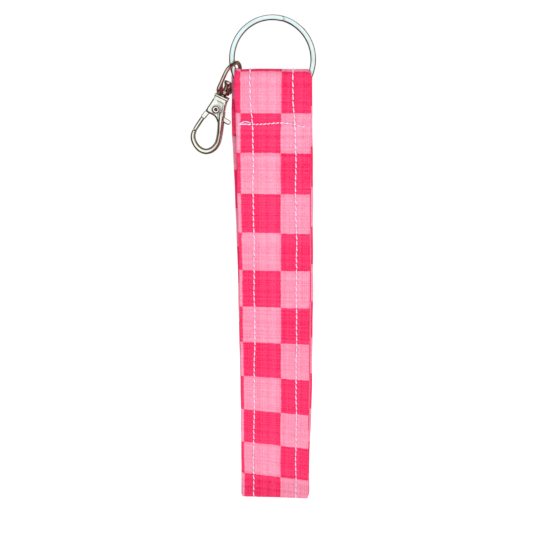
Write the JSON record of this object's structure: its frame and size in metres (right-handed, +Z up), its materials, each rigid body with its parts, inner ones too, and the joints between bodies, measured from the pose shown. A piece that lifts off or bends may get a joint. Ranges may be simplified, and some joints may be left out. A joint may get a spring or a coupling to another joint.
{
  "type": "wristlet keychain",
  "caption": "Flat fabric wrist loop with a split ring held in its sewn top fold and a swivel snap clasp hanging from the ring.",
  "frame": {"origin": "centre of the strap's back face at the height of the bar seam", "axes": "+Z up along the strap towards the ring, +Y out of the back face, front towards -Y"},
  "size_m": [0.0419, 0.0101, 0.1775],
  "materials": {
    "pink_cotton": "hot pink and light pink woven check, plain-weave quilting cotton",
    "white_interfacing": "pressed felt",
    "lilac_thread": "polyester sewing thread",
    "ring_steel": "nickel-plated spring steel, bright",
    "bright_nickel": "nickel-plated zinc casting, bright",
    "spring_steel": "plain spring wire"
  },
  "bodies": {
    "fold": {"fold_cover": "pink_cotton", "fold_core": "white_interfacing", "fold_stitch_left": "lilac_thread", "fold_stitch_right": "lilac_thread"},
    "seam": {"seam_front_cover": "pink_cotton", "seam_front_core": "white_interfacing", "seam_front_stitch_left": "lilac_thread", "seam_front_stitch_right": "lilac_thread", "seam_back_cover": "pink_cotton", "seam_back_core": "white_interfacing", "bar_seam_thread": "lilac_thread"},
    "front_upper": {"front_upper_cover": "pink_cotton", "front_upper_core": "white_interfacing", "front_upper_stitch_left": "lilac_thread", "front_upper_stitch_right": "lilac_thread"},
    "front_lower": {"front_lower_cover": "pink_cotton", "front_lower_core": "white_interfacing", "front_lower_stitch_left": "lilac_thread", "front_lower_stitch_right": "lilac_thread"},
    "back_lower": {"back_lower_cover": "pink_cotton", "back_lower_core": "white_interfacing", "back_lower_stitch_left": "lilac_thread", "back_lower_stitch_right": "lilac_thread"},
    "back_upper": {"back_upper_cover": "pink_cotton", "back_upper_core": "white_interfacing", "back_upper_stitch_left": "lilac_thread", "back_upper_stitch_right": "lilac_thread"},
    "ring": {"split_ring": "ring_steel"},
    "bail": {"swivel_bail": "bright_nickel"},
    "hook": {"swivel_post": "bright_nickel", "hook_body": "bright_nickel", "pivot_rivet": "bright_nickel", "gate_spring": "spring_steel"},
    "gate": {"gate_lever": "bright_nickel"}
  },
  "joints": [
    {"name": "fold_flex", "type": "hinge", "parent": "seam", "child": "fold", "pos_m": [0, -0.00215, 0.0034], "axis": [1, 0, 0], "range_deg": [-45, 45], "stiffness_Nm_per_rad": 0.003},
    {"name": "ring_turn", "type": "hinge", "parent": "fold", "child": "ring", "pos_m": [-0.0002, -0.00215, 0.0212], "axis": [0, 1, 0], "range_deg": [0, 170]},
    {"name": "bail_swing", "type": "hinge", "parent": "ring", "child": "bail", "pos_m": [-0.013, -0.00215, 0.01692], "axis": [0, 1, 0], "range_deg": [0, 38]},
    {"name": "clasp_swivel", "type": "hinge", "parent": "bail", "child": "hook", "pos_m": [-0.01711, -0.00215, 0.00935], "axis": [0.4305, 0, 0.9026], "continuous": true},
    {"name": "gate_open", "type": "hinge", "parent": "hook", "child": "gate", "pos_m": [-0.0191, -0.00215, 0.00501], "axis": [0, -1, 0], "range_deg": [0, 25], "stiffness_Nm_per_rad": 0.002, "springref_deg": -20.05, "deforming": ["gate_spring"]},
    {"name": "loop_open", "type": "hinge", "parent": "seam", "child": "front_upper", "pos_m": [0, -0.0033, -0.004], "axis": [-1, 0, 0], "range_deg": [0, 28]},
    {"name": "front_middle_bend", "type": "hinge", "parent": "front_upper", "child": "front_lower", "pos_m": [0, -0.0033, -0.07245], "axis": [1, 0, 0], "range_deg": [0, 57]},
    {"name": "bottom_bend", "type": "hinge", "parent": "front_lower", "child": "back_lower", "pos_m": [0, -0.00215, -0.1412], "axis": [-1, 0, 0], "range_deg": [0, 57]},
    {"name": "back_middle_bend", "type": "hinge", "parent": "back_lower", "child": "back_upper", "pos_m": [0, -0.001, -0.07245], "axis": [1, 0, 0], "range_deg": [0, 57]}
  ],
  "couplings": [
    {"joint": "front_middle_bend", "follows": "loop_open", "ratio": 2},
    {"joint": "bottom_bend", "follows": "loop_open", "ratio": 2},
    {"joint": "back_middle_bend", "follows": "loop_open", "ratio": 2}
  ]
}
